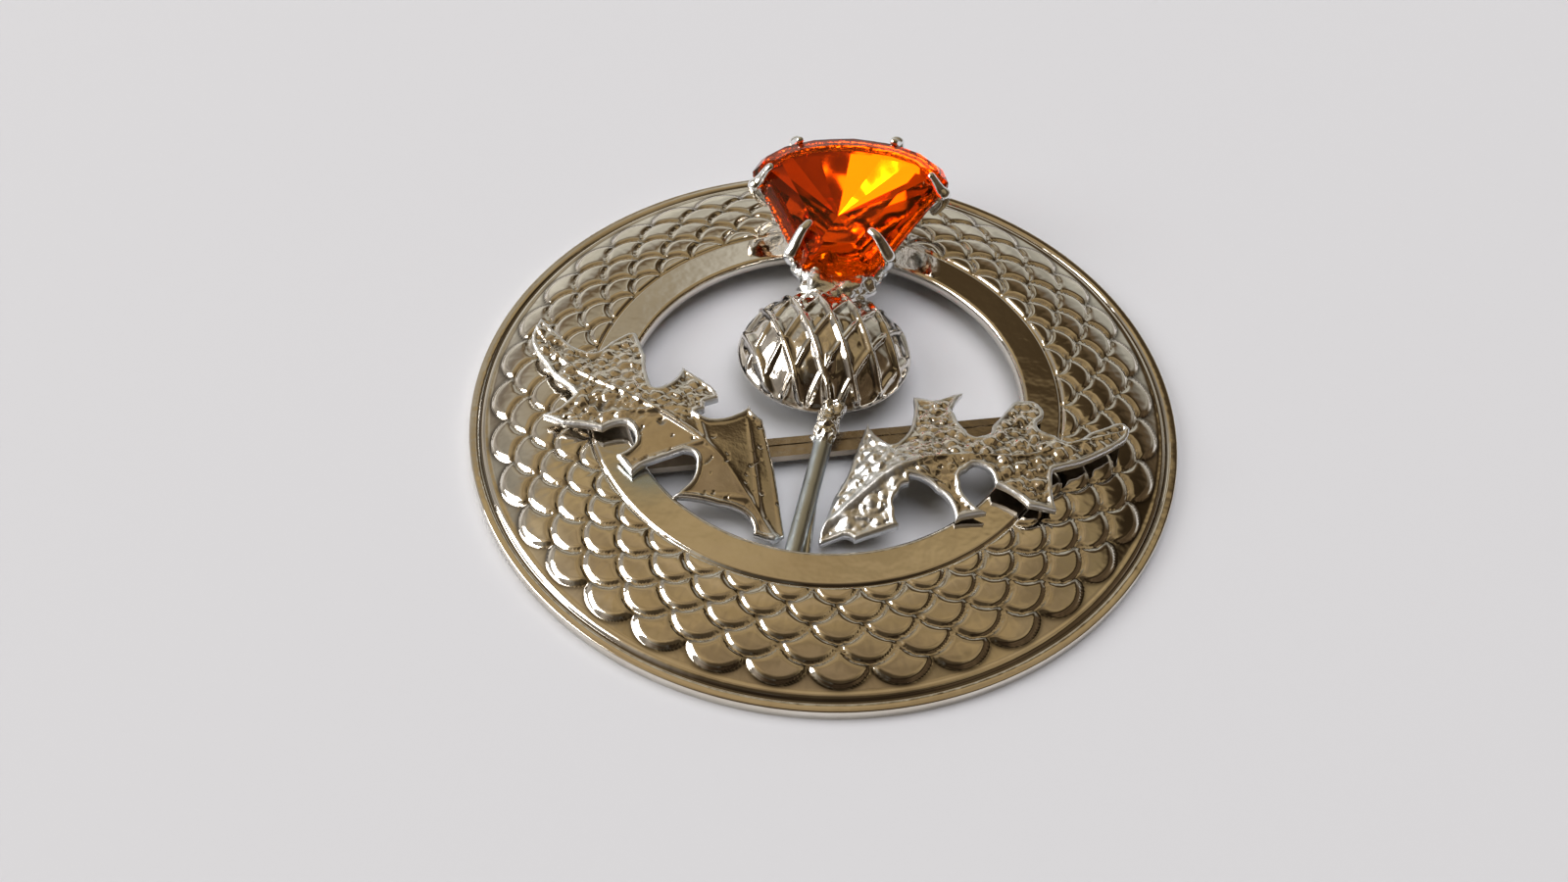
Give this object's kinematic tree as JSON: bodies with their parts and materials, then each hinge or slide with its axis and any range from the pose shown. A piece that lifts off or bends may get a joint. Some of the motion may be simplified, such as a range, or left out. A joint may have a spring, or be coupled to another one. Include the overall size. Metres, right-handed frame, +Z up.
{
  "type": "thistle brooch",
  "caption": "Round silver-tone brooch: a domed fish-scale ring around a thistle with a netted bulb, cast leaves and a fan-cut orange glass stone in a claw setting.",
  "frame": {"origin": "centre of the ring on the surface that the brooch lies on", "axes": "+Y from the stem's base to the stone, +X to the right as the brooch is seen, +Z up through its face"},
  "size_m": [0.055, 0.055, 0.0091],
  "materials": {
    "plate": "bright plated, stamped sheet",
    "cast": "bright plated casting",
    "leaf": "bright plated casting with a stippled face",
    "stone": "polished and faceted"
  },
  "bodies": {
    "root": {"ring": "plate", "back_bar": "plate", "pin": "plate", "bulb": "cast", "stem": "cast", "setting": "cast", "leaf_left": "leaf", "leaf_right": "leaf", "stone": "stone"}
  },
  "joints": []
}
